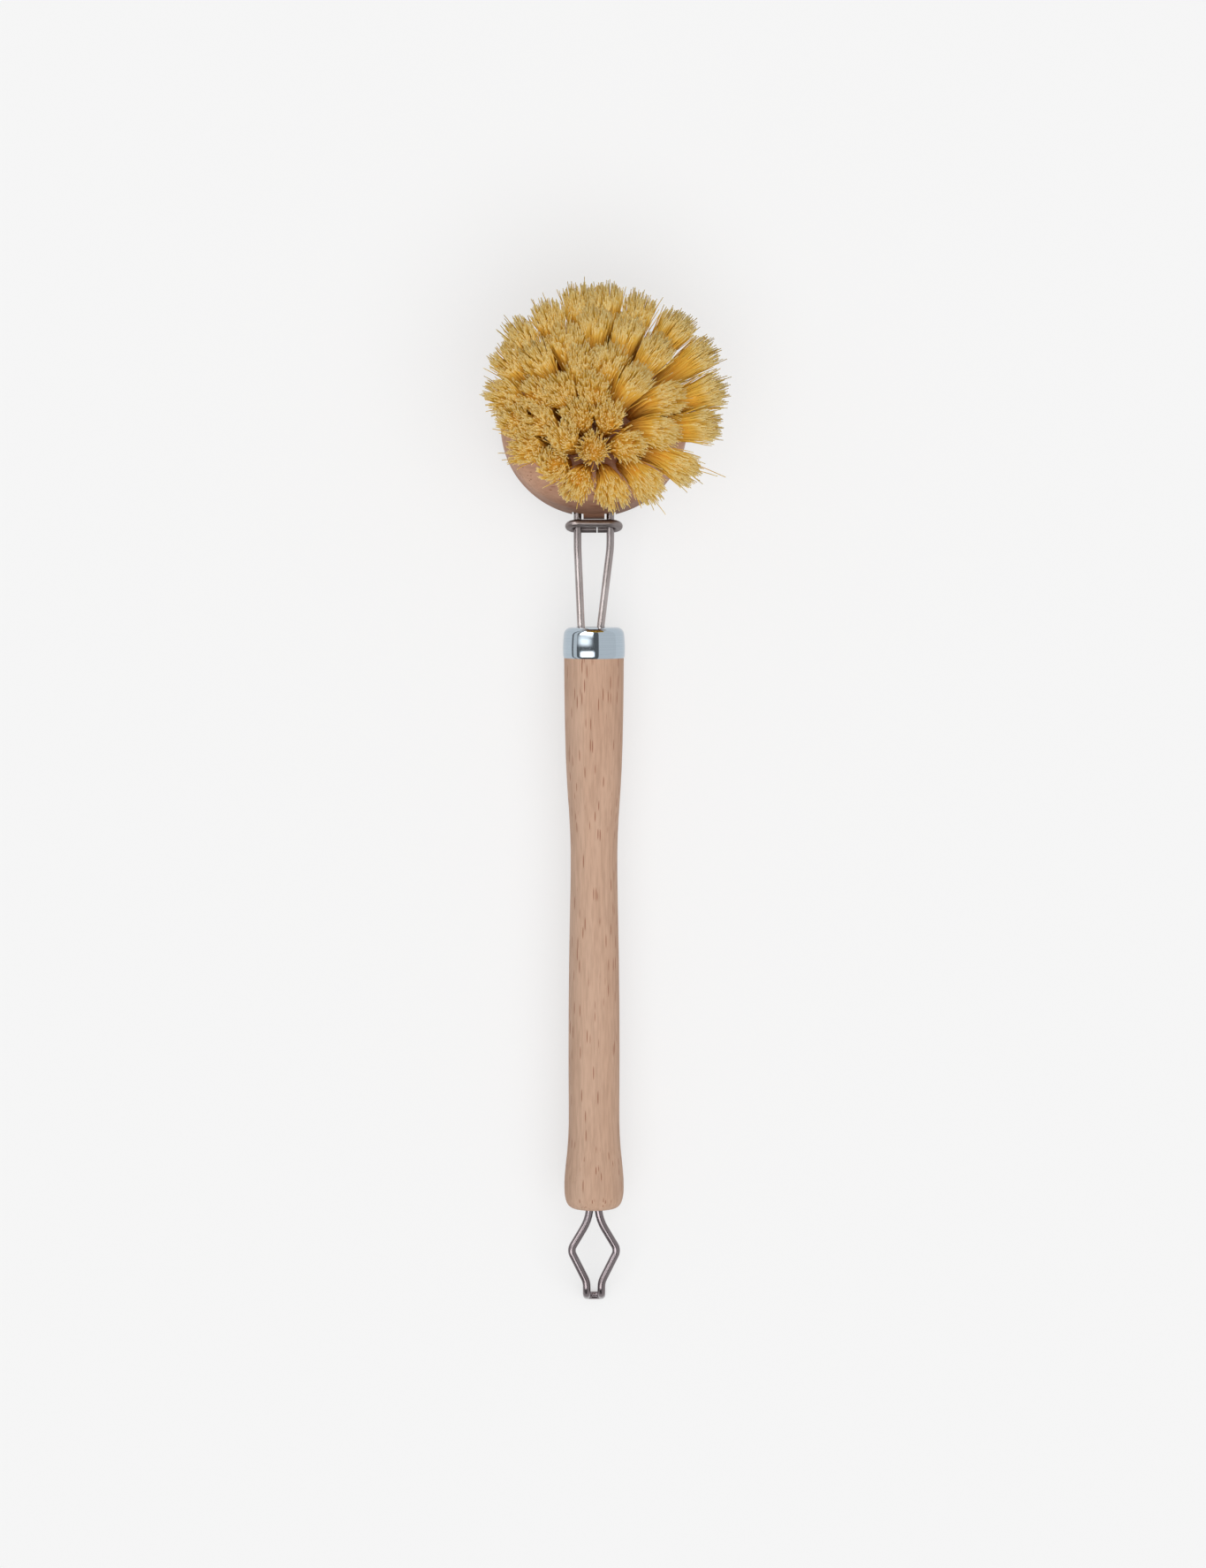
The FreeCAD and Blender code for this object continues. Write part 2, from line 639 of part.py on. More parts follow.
def build_head_block():
    """Turned disc with a domed face, notched for the prongs on both sides of a cross-drilled tongue."""
    body = new_body("head_block")
    outer, back, top = size("disc_radius"), -size("disc_back"), size("disc_top")
    under, rim, ball = size("back_rounding"), size("rim_rounding"), size("dome_radius")
    rim_x = outer - rim
    rim_z = top - ball + math.sqrt((ball - rim) ** 2 - rim_x**2)
    slope = math.atan2(rim_z - (top - ball), rim_x)
    normal = Vector(0, 0, 1)
    under_circle = Part.Circle(Vector(outer - under, back + under, 0), normal, under)
    rim_circle = Part.Circle(Vector(rim_x, rim_z, 0), normal, rim)
    dome_circle = Part.Circle(Vector(0, top - ball, 0), normal, ball)

    outline = sketch_on(body, "disc_profile", "XZ_Plane")
    floor, under_arc, side, rim_arc, dome, axis = (
        outline.addGeometry(Part.LineSegment(Vector(0, back, 0), Vector(outer - under, back, 0))),
        outline.addGeometry(Part.ArcOfCircle(under_circle, -math.pi / 2, 0)),
        outline.addGeometry(Part.LineSegment(Vector(outer, back + under, 0), Vector(outer, rim_z, 0))),
        outline.addGeometry(Part.ArcOfCircle(rim_circle, 0, slope)),
        outline.addGeometry(Part.ArcOfCircle(dome_circle, slope, math.pi / 2)),
        outline.addGeometry(Part.LineSegment(Vector(0, top, 0), Vector(0, back, 0))),
    )
    for constraint in (
        ("Tangent", floor, 2, under_arc, 1),
        ("Tangent", under_arc, 2, side, 1),
        ("Tangent", side, 2, rim_arc, 1),
        ("Tangent", rim_arc, 2, dome, 1),
        ("Coincident", dome, 2, axis, 1),
        ("Coincident", axis, 2, floor, 1),
        ("Horizontal", floor),
        ("Vertical", side),
        ("PointOnObject", dome, 3, -2),
        ("PointOnObject", dome, 2, -2),
        ("PointOnObject", floor, 1, -2),
    ):
        outline.addConstraint(Sketcher.Constraint(*constraint))
    dimension(outline, "-sizes.disc_back", "DistanceY", -1, 1, floor, 1)
    dimension(outline, "sizes.disc_top", "DistanceY", -1, 1, dome, 2)
    dimension(outline, "sizes.disc_radius", "DistanceX", -1, 1, side, 1)
    dimension(outline, "sizes.back_rounding", "Radius", under_arc)
    dimension(outline, "sizes.rim_rounding", "Radius", rim_arc)
    dimension(outline, "sizes.dome_radius", "Radius", dome)
    turned = feature(body, "Revolution", "disc", outline)
    turned.ReferenceAxis = (origin_feature(body, "Z_Axis"), [""])
    doc.recompute()
    volume = body.Shape.Volume

    near, far = "sizes.tongue_width / 2", "sizes.tongue_width / 2 + sizes.notch_width"
    mouth = "-(sizes.disc_radius + sizes.overrun)"
    end = f"sizes.notch_depth - {DISC_OFFSET}"
    tongue_end = circle_sketch(
        body,
        "tongue_circle",
        "sizes.tongue_radius",
        role="YZ_Plane",
        along=f"-{DISC_OFFSET}",
    )
    bind(feature(body, "Pad", "tongue", tongue_end, Midplane=True), Length="sizes.tongue_width")
    doc.recompute()
    if not body.Shape.Volume > volume:
        raise RuntimeError("the tongue adds nothing to the disc")
    volume = body.Shape.Volume
    flush = sketch_on(body, "flush_outline", "XY_Plane", "-sizes.disc_back")
    rectangle(flush, f"-({far})", far, mouth, end)
    feature(body, "Pocket", "flush_back", flush, Type="ThroughAll")
    volume = must_cut(body, volume)

    notches = sketch_on(body, "notch_outlines", "XY_Plane", "sizes.notch_height")
    rectangle(notches, near, far, mouth, end)
    rectangle(notches, f"-({far})", f"-({near})", mouth, end)
    feature(body, "Pocket", "notches", notches, Type="ThroughAll")
    volume = must_cut(body, volume)

    hinge_pin = circle_sketch(
        body,
        "hinge_circle",
        "sizes.wire_dia / 2 + sizes.hinge_play",
        role="YZ_Plane",
        along=f"-{DISC_OFFSET}",
    )
    hinge = feature(body, "Pocket", "hinge_hole", hinge_pin, Midplane=True)
    bind(hinge, Length="sizes.tongue_width + sizes.notch_width")
    volume = must_cut(body, volume)

    drill_hole(body, "centre_hole", 0)
    volume = must_cut(body, volume)
    for ring, ring_name in enumerate(TUFT_RINGS, 1):
        hole = drill_hole(body, f"{ring_name}_hole", ring)
        volume = must_cut(body, volume)
        pattern = body.newObject("PartDesign::PolarPattern", f"{ring_name}_holes")
        pattern.Originals = [hole]
        pattern.Axis = (origin_feature(body, "Z_Axis"), [""])
        pattern.Occurrences = ring * TUFTS_PER_RING
        body.Tip = pattern
        volume = must_cut(body, volume)
    place_on_head(body)
    return body


def drill_hole(body, name, ring):
    """The first tuft hole of a ring, drilled along its own splayed axis."""
    turn = tuft_turn(ring, 0)
    hole = body.newObject("PartDesign::SubtractiveCylinder", name)
    bind(hole, Radius=HOLE_RADIUS, Height="sizes.hole_depth + sizes.overrun")
    hole.Placement = Placement(tuft_mouth(ring, 0) - turn.multVec(Vector(0, 0, size("hole_depth"))), turn)
    body.Tip = hole
    return hole


def build_tuft(label, ring, angle):
    """A root that fills its hole down to the anchor, and fibres that swell, spread and lean."""
    turn, lean = tuft_turn(ring, angle), tuft_lean(ring, angle)
    up = Vector(0, 0, 1)
    along = turn.multVec(up)
    seat = tuft_mouth(ring, angle)
    root = seat - along * (size("hole_depth") - size("anchor_height") - size("anchor_play"))
    collar = seat + along * size("tuft_collar")
    body = collar + tuft_turn(ring, angle, lean / 2).multVec(up) * (size("tuft_body") - size("tuft_collar"))
    tip = body + tuft_turn(ring, angle, lean).multVec(up) * (size("tuft_length") - size("tuft_body"))
    root_radius = f"{HOLE_RADIUS} - sizes.tuft_play"
    body_radius = f"(sizes.tuft_pitch + sizes.tuft_body * {SPREAD} - sizes.tuft_gap) / 2"
    tip_radius = f"(sizes.tuft_pitch + sizes.tuft_length * {SPREAD} - sizes.tuft_gap) / 2"
    tuft = doc.addObject("Part::Loft", label)
    tuft.Label = label
    tuft.Sections = [
        round_section(f"{label}_root", root_radius, root, turn),
        round_section(f"{label}_collar", root_radius, collar, turn),
        round_section(f"{label}_body", body_radius, body, turn),
        round_section(f"{label}_tip", tip_radius, tip, turn),
    ]
    tuft.Solid = True
    tuft.Ruled = True
    place_on_head(tuft)
    return tuft


def build_anchors():
    """A flat metal anchor across the bottom of every tuft hole."""
    strips = []
    half_width = f"({HOLE_RADIUS} - sizes.anchor_play)"
    middle = Vector(-worth(sheet, half_width), -size("anchor_thickness") / 2, -size("hole_depth"))
    for label, ring, angle in tuft_seats():
        turn = tuft_turn(ring, angle)
        strip = doc.addObject("Part::Box", f"{label}_anchor")
        bind(strip, Length=f"2 * {half_width}", Width="sizes.anchor_thickness")
        bind(strip, Height="sizes.anchor_height")
        strip.Placement = Placement(tuft_mouth(ring, angle) + turn.multVec(middle), turn)
        strips.append(strip)
    anchors = doc.addObject("Part::Compound", "tuft_anchors")
    anchors.Label = "tuft_anchors"
    anchors.Links = strips
    place_on_head(anchors)
    return anchors


def stand_on_origin(pieces):
    """Put the middle of the model's underside on the origin, through the sheet's three origin cells."""
    box = FreeCAD.BoundBox()
    for piece in pieces:
        box.add(piece.Shape.optimalBoundingBox())
    sheet.set("origin_x", str(-box.Center.x))
    sheet.set("origin_y", str(-box.Center.y))
    sheet.set("origin_z", str(-box.ZMin))
    doc.recompute()


def check(pieces):
    """Stop on any object that failed and on any piece that is missing, faulty or in more bits than it should be."""
    for item in doc.Objects:
        if {"Invalid", "Error"} & set(item.State):
            raise RuntimeError(f"{item.Name} failed: {item.State}")
    for piece in pieces:
        if piece.Shape.isNull() or not piece.Shape.isValid():
            raise RuntimeError(f"{piece.Label} has no valid shape")
        expected = len(piece.Links) if piece.TypeId == "Part::Compound" else 1
        if len(piece.Shape.Solids) != expected:
            raise RuntimeError(f"{piece.Label} has {len(piece.Shape.Solids)} solids")


def report(pieces):
    """Print where the joints and mounts lie, and the size of the whole model."""
    shift = Vector(size("origin_x"), size("origin_y"), size("origin_z"))
    print("origin shift", shift)
    print("hinge", shift + Vector(0, hinge_y, 0))
    print("ring", shift + Vector(0, hinge_y - size("ring_drop"), 0))
    print("loop middle", shift + Vector(0, -size("loop_drop"), 0))
    print("hook bend", shift + Vector(0, -size("hook_drop"), 0), "head drop", head_drop)
    box = FreeCAD.BoundBox()
    for piece in pieces:
        box.add(piece.Shape.optimalBoundingBox())
    print("box", box)


def main():
    pieces = [build_handle(), build_ferrule(), build_wire_frame(), build_locking_ring(), build_head_block()]
    pieces += [build_tuft(*seat) for seat in tuft_seats()]
    pieces.append(build_anchors())
    doc.recompute()
    check(pieces)
    stand_on_origin(pieces)
    check(pieces)
    report(pieces)
    os.makedirs("parts", exist_ok=True)
    for piece in pieces:
        piece.Shape.exportStep(os.path.join("parts", f"{piece.Label}.step"))


main()
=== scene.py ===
"""Dish brush, seen from above as it lies on its back on a pale floor.

The wood, the wire, the ring and the ferrule are the frame's own pieces with their finishes.  Every tuft is
built here as a bundle of separate plant fibres in place of its plain solid.
"""
import math

import bpy
import numpy as np
from mathutils import Matrix, Vector


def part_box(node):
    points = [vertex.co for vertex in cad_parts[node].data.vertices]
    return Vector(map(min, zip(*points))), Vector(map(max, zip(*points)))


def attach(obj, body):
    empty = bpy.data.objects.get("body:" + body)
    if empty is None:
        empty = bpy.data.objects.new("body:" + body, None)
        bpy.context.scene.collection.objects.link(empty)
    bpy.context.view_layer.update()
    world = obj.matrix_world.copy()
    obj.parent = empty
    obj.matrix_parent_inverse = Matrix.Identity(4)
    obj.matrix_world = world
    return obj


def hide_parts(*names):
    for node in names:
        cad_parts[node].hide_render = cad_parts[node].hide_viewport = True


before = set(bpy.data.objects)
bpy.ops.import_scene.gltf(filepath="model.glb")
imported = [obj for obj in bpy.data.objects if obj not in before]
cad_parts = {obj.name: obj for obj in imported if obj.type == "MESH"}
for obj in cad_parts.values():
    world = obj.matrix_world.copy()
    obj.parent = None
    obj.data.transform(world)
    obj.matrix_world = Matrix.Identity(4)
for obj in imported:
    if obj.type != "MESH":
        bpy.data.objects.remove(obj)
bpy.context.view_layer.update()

MM = 0.001
# Faces whose way agrees this well with a tuft's end lie in that end.
FLAT_COSINE = 0.9999
# Faces whose ways agree to this many digits are taken as one flat.
WAY_DIGITS = 3

# The photograph: its frame, where the handle's axis lies in it, and the size of a pixel on the brush.
IMAGE_WIDTH_PX, IMAGE_HEIGHT_PX = 1365, 1774
AXIS_X_PX = 672.3
PIXEL = 0.2276 * MM
# Places along the handle, from its butt: the middle of the picture, and the point that the camera
# stands over
AIM_PLACE = 110.1 * MM
CAMERA_PLACE = 192 * MM
CAMERA_HEIGHT = 1200 * MM

# Fibres of one tuft
FIBRES_PER_TUFT = 360
FIBRE_RADIUS = 0.145 * MM
FIBRE_TIP_SHARE = 0.8
FIBRE_SIDES = 3
FIBRE_STEP_SHARES = (0.0, 0.16, 0.3, 0.43, 0.55, 0.66, 0.76, 0.85, 0.93, 1.0)
FIBRE_SINK = 2.0 * MM
# From the bottom of a tuft's root to where it leaves its hole
ROOT_LENGTH = 5.5 * MM
# How late along its length a tuft widens
FLARE_POWER = 1.1
# How much further the tips spread than their plain solid, and how late along a fibre that spread and
# its curl set in
BLOOM = 0.85 * MM
TIP_POWER = 3
# Where a tuft bends, as a share of its free length
ELBOW_SHARE = 0.42
# A fibre's small waves: their height, their number, and the share of the fibre over which they grow
CRINKLE = 0.09 * MM
CRINKLE_TURNS = (1.5, 3.5)
CRINKLE_START_SHARE = 0.5
# How far tips curl aside, how far lengths differ, how much lower a tuft's rim is than its middle, and
# how far a whole tuft sways
CURL = 0.24 * MM
LENGTH_SPREAD = 0.7 * MM
CROWN_DROP = 0.5 * MM
TUFT_SWAY = 1.0 * MM
# The wisps that tips gather in and how closely, and the share of fibres that stray and how far
WISPS_PER_TUFT = 30
WISP_SHARE = 0.2
STRAY_SHARE = 0.08
STRAY_SPREAD_SHARE = 0.4
# Loose fibres on the handle's side: how many stand out of a tuft, by how much, and how far and how late
# they bend aside
LOOSE_FIBRES = 2
LOOSE_LENGTH = 5.0 * MM
LOOSE_BEND = 3.0 * MM
LOOSE_POWER = 4
SEED = 7
# What the normals of a tuft follow: the fibre's own round, the tuft's round and the way of its tips
OWN_ROUND_SHARE = 0.22
TUFT_ROUND_SHARE = 0.35
TUFT_TIP_SHARE = 0.7
# The packed middle of a tuft: its share of the tuft's width, how far it ends below the tips, how far
# along a fibre its colour goes, and its ribs
CORE_SHARE = 0.66
CORE_DROP = 5.5 * MM
CORE_REACH_SHARE = 0.7
CORE_SIDES = 48
CORE_GROOVE_SHARE = 0.94
# Share of the light on a fibre that leaves it on its far side, and share of a lamp's light that
# passes by it
THROUGH_SHARE = 0.12
PASS_SHARE = 0.92

# Wood: how fine its bands and pores are, how strongly and how deep the pores show, and the share of
# the places for a fleck that have none
BAND_SCALE = 90.0
PORE_SCALE = 1400.0
PORE_SHARE = 0.8
PORE_DEPTH = 0.1 * MM
NO_FLECK_SHARE = 0.3
# Metal: how fine the dull patches of wire and the drawing marks of sheet are
PATCH_SCALE = 140.0
MARK_SCALE = 60.0
MARK_STRETCH = (1.0, 60.0, 1.0)

# Light
AMBIENT = 0.4
KEY_STRENGTH = 1.95
KEY_ANGLE = math.radians(75)
KEY_WAY = Vector((-0.1, 0.25, -1.0))
FLOOR_HALF = 3.0
FLOOR_GREY = 0.92
# Share of the floor's look that takes no shadow
FLOOR_EVEN_SHARE = 0.6
# What shiny metal mirrors: the floor, the room, and lamps and dark bars above it.  Each window of these
# is given in degrees across and along the brush (low and high), with its brightness and the width of
# its soft edges.
MIRRORED_FLOOR = 0.75
MIRRORED_ROOM = 0.68
LAMP_LEVEL = 4.2
SOFT_LEVEL = 1.7
DARK_LEVEL = 0.13
MIRRORED_WINDOWS = (
    ((-92.0, -83.0), (-75.0, 75.0), DARK_LEVEL, (3.0, 3.0)),
    ((-67.0, -57.0), (-75.0, 75.0), DARK_LEVEL, (3.0, 3.0)),
    ((-57.0, 18.0), (-75.0, 75.0), DARK_LEVEL, (3.0, 3.0)),
    ((-57.0, -4.0), (10.4, 84.0), LAMP_LEVEL, (6.0, 2.4)),
    ((-58.0, -13.0), (1.8, 9.0), SOFT_LEVEL, (30.0, 5.0)),
    ((-50.0, -1.0), (-20.0, -4.4), LAMP_LEVEL, (14.0, 1.8)),
)


def srgb(red, green, blue):
    """A screen colour, 0 to 255, as the linear colour that a shader takes."""
    def linear(value):
        share = value / 255
        return share / 12.92 if share <= 0.04045 else ((share + 0.055) / 1.055) ** 2.4

    return (linear(red), linear(green), linear(blue), 1.0)


def node(tree, kind, inputs=None, **settings):
    """Add a shader node: inputs are numbers, colours or other nodes' outputs, by socket name or number."""
    item = tree.nodes.new(f"ShaderNode{kind}")
    for key, value in settings.items():
        setattr(item, key, value)
    for key, value in (inputs or {}).items():
        if isinstance(value, bpy.types.NodeSocket):
            tree.links.new(value, item.inputs[key])
        else:
            item.inputs[key].default_value = value
    return item


def new_material(name):
    """An empty material: its node tree and its principled shader."""
    material = bpy.data.materials.new(name)
    material.use_nodes = True
    tree = material.node_tree
    return material, tree, tree.nodes["Principled BSDF"]


def ramp(tree, factor, stops):
    """A colour ramp with the given (place, colour) stops."""
    item = node(tree, "ValToRGB", {"Fac": factor})
    elements = item.color_ramp.elements
    while len(elements) < len(stops):
        elements.new(0.5)
    for element, (place, colour) in zip(elements, stops):
        element.position = place
        element.color = colour
    return item.outputs["Color"]


def seen_by(tree, *kinds):
    """1 for rays of the given kinds and 0 for all others."""
    rays = node(tree, "LightPath")
    seen = rays.outputs[f"Is {kinds[0]} Ray"]
    for kind in kinds[1:]:
        pair = {0: seen, 1: rays.outputs[f"Is {kind} Ray"]}
        seen = node(tree, "Math", pair, operation="MAXIMUM").outputs[0]
    return seen


def grain_space(tree, stretch):
    """Object coordinates squeezed along the grain."""
    place = node(tree, "TexCoord").outputs["Object"]
    return node(tree, "Mapping", {"Vector": place, "Scale": stretch}).outputs["Vector"]


def toned_along(tree, colour, stops):
    """A colour times the tones of its piece, from the end nearest the hook to the end furthest from it."""
    height = node(tree, "SeparateXYZ", {0: node(tree, "TexCoord").outputs["Generated"]}).outputs["Y"]
    tones = ramp(tree, height, stops)
    pair = {"Fac": 1.0, "Color1": colour, "Color2": tones}
    return node(tree, "MixRGB", pair, blend_type="MULTIPLY").outputs[0]


def beech(name, tones, fleck, stretch, fleck_stretch, tone_and_painted_shade):
    """Sanded beech: soft bands, fine pores and short dark flecks along the grain, and a tone along the
    piece, which on the head is painted shade and painted light.
    """
    material, tree, shader = new_material(name)
    along = grain_space(tree, stretch)
    bands = node(tree, "TexNoise", {"Vector": along, "Scale": BAND_SCALE, "Detail": 3.0, "Roughness": 0.6})
    colour = ramp(tree, bands.outputs["Fac"], [(0.3, tones[0]), (0.5, tones[1]), (0.7, tones[2])])
    pores = node(tree, "TexNoise", {"Vector": along, "Scale": PORE_SCALE, "Detail": 2.0, "Roughness": 0.7})
    pore_tone = ramp(tree, pores.outputs["Fac"], [(0.35, (0.82, 0.8, 0.78, 1)), (0.6, (1, 1, 1, 1))])
    pored = {"Fac": PORE_SHARE, "Color1": colour, "Color2": pore_tone}
    grained = node(tree, "MixRGB", pored, blend_type="MULTIPLY")
    cells = grain_space(tree, fleck_stretch)
    spots = node(tree, "TexVoronoi", {"Vector": cells, "Scale": 1.0, "Randomness": 1.0})
    thin = ramp(tree, spots.outputs["Distance"], [(0.15, (1, 1, 1, 1)), (0.23, (0, 0, 0, 1))])
    chance = node(tree, "SeparateColor", {"Color": spots.outputs["Color"]})
    kept = node(tree, "Math", {0: chance.outputs["Red"], 1: NO_FLECK_SHARE}, operation="GREATER_THAN")
    shown = node(tree, "Math", {0: thin, 1: kept.outputs[0]}, operation="MULTIPLY")
    flecked = node(tree, "MixRGB", {"Fac": shown.outputs[0], "Color1": grained.outputs[0], "Color2": fleck})
    tree.links.new(toned_along(tree, flecked.outputs[0], tone_and_painted_shade), shader.inputs["Base Color"])
    rough = node(tree, "MapRange", {"Value": pores.outputs["Fac"], "To Min": 0.62, "To Max": 0.5})
    tree.links.new(rough.outputs[0], shader.inputs["Roughness"])
    bump = node(tree, "Bump", {"Height": pores.outputs["Fac"], "Strength": 0.12, "Distance": PORE_DEPTH})
    tree.links.new(bump.outputs[0], shader.inputs["Normal"])
    shader.inputs["Specular IOR Level"].default_value = 0.3
    return material


def steel(name, dark, light, roughness, tone_and_painted_light):
    """Drawn wire: satin metal, here duller and there brighter, with a tone along its length that holds
    painted highlight and painted shade.
    """
    material, tree, shader = new_material(name)
    place = node(tree, "TexCoord").outputs["Object"]
    dulled = {"Vector": place, "Scale": PATCH_SCALE, "Detail": 2.0, "Roughness": 0.5}
    patches = node(tree, "TexNoise", dulled)
    colour = ramp(tree, patches.outputs["Fac"], [(0.3, dark), (0.7, light)])
    tree.links.new(toned_along(tree, colour, tone_and_painted_light), shader.inputs["Base Color"])
    low, high = roughness
    rough = node(tree, "MapRange", {"Value": patches.outputs["Fac"], "To Min": low, "To Max": high})
    tree.links.new(rough.outputs[0], shader.inputs["Roughness"])
    shader.inputs["Metallic"].default_value = 1.0
    return material


def chrome(name):
    """Plated sheet with faint drawing marks round the cap."""
    material, tree, shader = new_material(name)
    marks = grain_space(tree, MARK_STRETCH)
    streaks = node(tree, "TexNoise", {"Vector": marks, "Scale": MARK_SCALE, "Detail": 2.0})
    tints = [(0.3, (0.54, 0.63, 0.71, 1)), (0.7, (0.58, 0.67, 0.75, 1))]
    colour = ramp(tree, streaks.outputs["Fac"], tints)
    tree.links.new(colour, shader.inputs["Base Color"])
    rough = node(tree, "MapRange", {"Value": streaks.outputs["Fac"], "To Min": 0.04, "To Max": 0.1})
    tree.links.new(rough.outputs[0], shader.inputs["Roughness"])
    shader.inputs["Metallic"].default_value = 1.0
    return material


def plant_fibre(name):
    """Straw-gold fibre: painted shade darkens it and turns it orange deep in the tuft, paler to the tip, no
    two alike.
    """
    material, tree, shader = new_material(name)
    along = node(tree, "Attribute", attribute_name="along").outputs["Fac"]
    tone = node(tree, "Attribute", attribute_name="tone").outputs["Fac"]
    # Painted shade: darker, more orange colour towards the root, deep in the tuft where shade falls.
    stops = [
        (0.15, srgb(200, 128, 42)),
        (0.5, srgb(234, 178, 74)),
        (0.78, srgb(250, 200, 80)),
        (0.92, srgb(253, 209, 94)),
        (1.0, srgb(254, 231, 164)),
    ]
    colour = ramp(tree, along, stops)
    tints = [(0.0, (0.93, 0.78, 0.46, 1)), (0.4, (0.98, 0.95, 0.9, 1)), (1.0, (1, 1, 1, 1))]
    shades = ramp(tree, tone, tints)
    mixed = node(tree, "MixRGB", {"Fac": 1.0, "Color1": colour, "Color2": shades}, blend_type="MULTIPLY")
    tree.links.new(mixed.outputs[0], shader.inputs["Base Color"])
    shader.inputs["Roughness"].default_value = 0.5
    shader.inputs["Specular IOR Level"].default_value = 0.35
    through = node(tree, "BsdfTranslucent", {"Color": mixed.outputs[0]})
    both = node(tree, "MixShader", {0: THROUGH_SHARE, 1: shader.outputs[0], 2: through.outputs[0]})
    clear = node(tree, "BsdfTransparent", {"Color": (PASS_SHARE, PASS_SHARE, PASS_SHARE, 1)})
    lit = node(tree, "MixShader", {0: seen_by(tree, "Shadow"), 1: both.outputs[0], 2: clear.outputs[0]})
    tree.links.new(lit.outputs[0], tree.nodes["Material Output"].inputs["Surface"])
    return material


def tuft_ends(name):
    """(centre, radius, outward way) of a tuft's tips and of its root: the two flat ends of its solid."""
    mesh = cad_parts[name].data
    count = len(mesh.polygons)
    normals, areas = np.empty(count * 3), np.empty(count)
    mesh.polygons.foreach_get("normal", normals)
    mesh.polygons.foreach_get("area", areas)
    normals = normals.reshape(count, 3)
    ways, groups = np.unique(normals.round(WAY_DIGITS), axis=0, return_inverse=True)
    tip_way = ways[np.argmax(np.bincount(groups.ravel(), weights=areas))]
    tip_way = tip_way / np.linalg.norm(tip_way)
    ends = []
    for way in (tip_way, -tip_way):
        flat = np.flatnonzero(normals @ way > FLAT_COSINE)
        points = {tuple(mesh.vertices[v].co) for f in flat for v in mesh.polygons[f].vertices}
        rim = np.array(sorted(points))
        centre = (rim.min(axis=0) + rim.max(axis=0)) / 2
        ends.append((centre, np.linalg.norm(rim - centre, axis=1).max(), way))
    return ends


def across_axes(way):
    """Two axes square to a way and to each other."""
    return np.array(Vector(way).to_track_quat("Z", "Y").to_matrix())[:, :2].T


def unit_disc(chance, count):
    """Points spread evenly over a disc of radius 1."""
    turn, reach = chance.uniform(0, math.tau, count), np.sqrt(chance.random(count))
    return np.stack([reach * np.cos(turn), reach * np.sin(turn)], axis=1)


class TuftPath:
    """The bent middle line of a tuft: its points, the axes across it and its radius, step by step."""

    def __init__(self, chance, tips, root):
        (tip, wide, way), (bottom, narrow, _) = tips, root
        steps = np.array(FIBRE_STEP_SHARES)[:, None]
        mouth = bottom + way * ROOT_LENGTH
        elbow = mouth + way * np.linalg.norm(tip - mouth) * ELBOW_SHARE
        start = bottom + way * FIBRE_SINK
        end = tip + chance.normal(0, TUFT_SWAY, 2) @ across_axes(way)
        self.steps = steps
        self.way = (end - elbow) / np.linalg.norm(end - elbow)
        self.points = start * (1 - steps) ** 2 + elbow * 2 * steps * (1 - steps) + end * steps**2
        self.across = np.stack([across_axes(each) for each in way * (1 - steps) + self.way * steps])
        self.radius = narrow + (wide - narrow) * steps**FLARE_POWER + BLOOM * steps**TIP_POWER

    def place(self, offsets):
        """Points beside the middle line: offsets is line x step x 2."""
        return self.points[None] + np.einsum("fsa,sac->fsc", offsets, self.across)


def fibre_lines(chance, path):
    """Centre lines of a tuft's fibres, from inside its hole to their tips: an array fibre x step x 3."""
    steps = path.steps
    spots = unit_disc(chance, FIBRES_PER_TUFT)
    wisps = unit_disc(chance, WISPS_PER_TUFT)
    nearest = np.argmin(np.linalg.norm(spots[:, None] - wisps[None], axis=2), axis=1)
    gathered = spots + (wisps[nearest] - spots) * WISP_SHARE
    stray = 1 + STRAY_SPREAD_SHARE * (chance.random(FIBRES_PER_TUFT) < STRAY_SHARE)
    places = spots[:, None] * (1 - steps) + (gathered * stray[:, None])[:, None] * steps
    turns = chance.uniform(*CRINKLE_TURNS, (FIBRES_PER_TUFT, 1, 2))
    phases = chance.uniform(0, math.tau, (FIBRES_PER_TUFT, 1, 2))
    growth = np.minimum(1, steps / CRINKLE_START_SHARE)
    crinkle = np.sin(math.tau * turns * steps + phases) * CRINKLE * growth
    wisp_curl = chance.normal(0, CURL, (WISPS_PER_TUFT, 2))[nearest]
    curl = wisp_curl + chance.normal(0, CURL, (FIBRES_PER_TUFT, 2))
    lines = path.place(places * path.radius + crinkle + curl[:, None] * steps**TIP_POWER)
    rise = chance.normal(0, LENGTH_SPREAD, FIBRES_PER_TUFT) - CROWN_DROP * (spots**2).sum(axis=1)
    if path.way[1] < 0:
        rise[:LOOSE_FIBRES] += LOOSE_LENGTH
        bend = LOOSE_BEND * chance.normal(0, 1, (LOOSE_FIBRES, 1, 3))
        lines[:LOOSE_FIBRES] += bend * steps**LOOSE_POWER
    return lines + rise[:, None, None] * steps * path.way


def circle_points(sides):
    """The corners of a regular polygon of radius 1."""
    turns = math.tau * np.arange(sides) / sides
    return np.stack([np.cos(turns), np.sin(turns)], axis=1)


def fibre_rings(lines, way):
    """Thin tapering tubes along the lines: fibre x step x side x 3, and the way that each side faces."""
    radius = FIBRE_RADIUS * (1 - (1 - FIBRE_TIP_SHARE) * np.array(FIBRE_STEP_SHARES))
    round_ways = circle_points(FIBRE_SIDES) @ across_axes(way)
    return lines[:, :, None] + radius[:, None, None] * round_ways, round_ways


